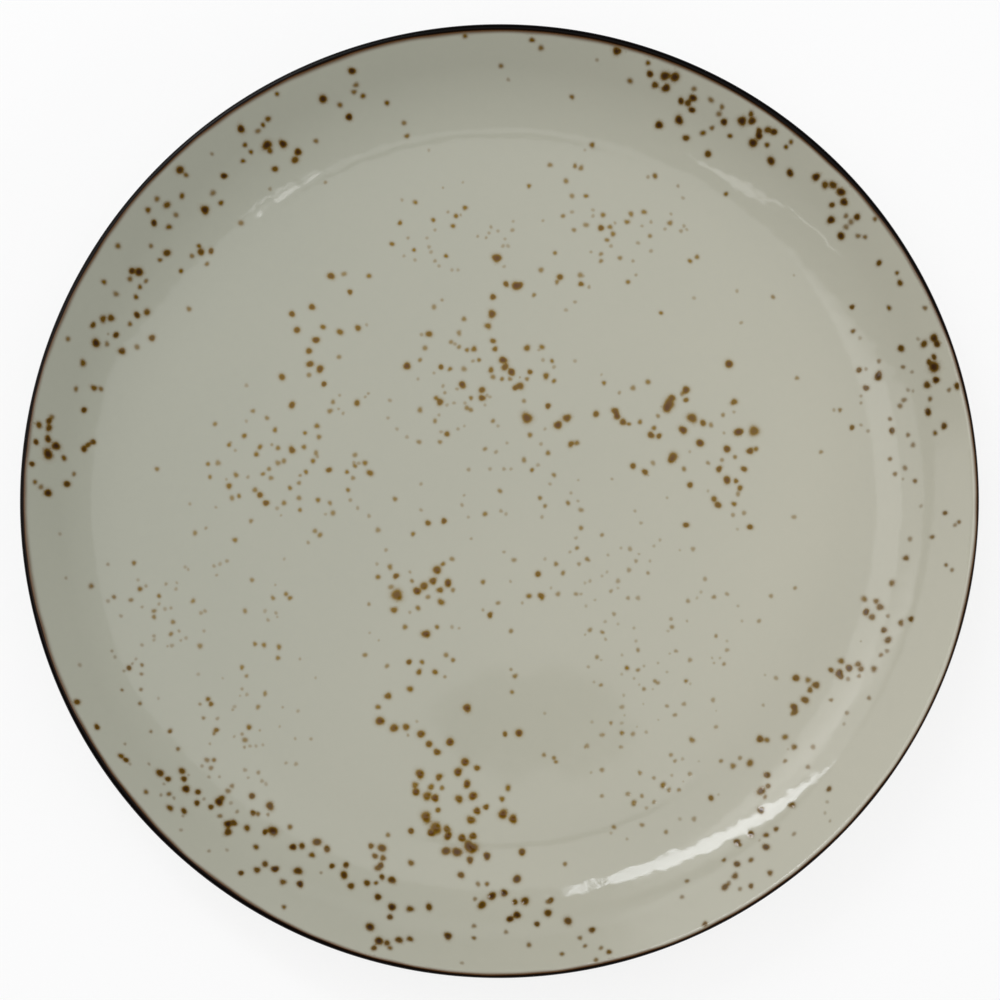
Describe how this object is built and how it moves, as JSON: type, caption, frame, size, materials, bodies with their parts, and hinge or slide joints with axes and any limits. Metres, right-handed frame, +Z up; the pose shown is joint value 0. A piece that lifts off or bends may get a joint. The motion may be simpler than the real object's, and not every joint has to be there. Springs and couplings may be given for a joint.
{
  "type": "coupe dinner plate",
  "caption": "Round rimless stoneware dinner plate with a flat well, a wall that curves up to a thin dark lip, a cream speckled glaze and a bare foot ring.",
  "frame": {"origin": "on the table, at the centre of the foot ring", "axes": "+Z up out of the well, along the axis that the plate is turned about; X and Y in the plane of the table"},
  "size_m": [0.28, 0.28, 0.026],
  "materials": {
    "stoneware": "matte",
    "cream_glaze": "gloss",
    "dark_glaze": "gloss"
  },
  "bodies": {
    "root": {"clay_body": "stoneware", "face_glaze": "cream_glaze", "rim_band": "dark_glaze", "back_glaze": "cream_glaze", "foot_well_glaze": "cream_glaze"}
  },
  "joints": []
}
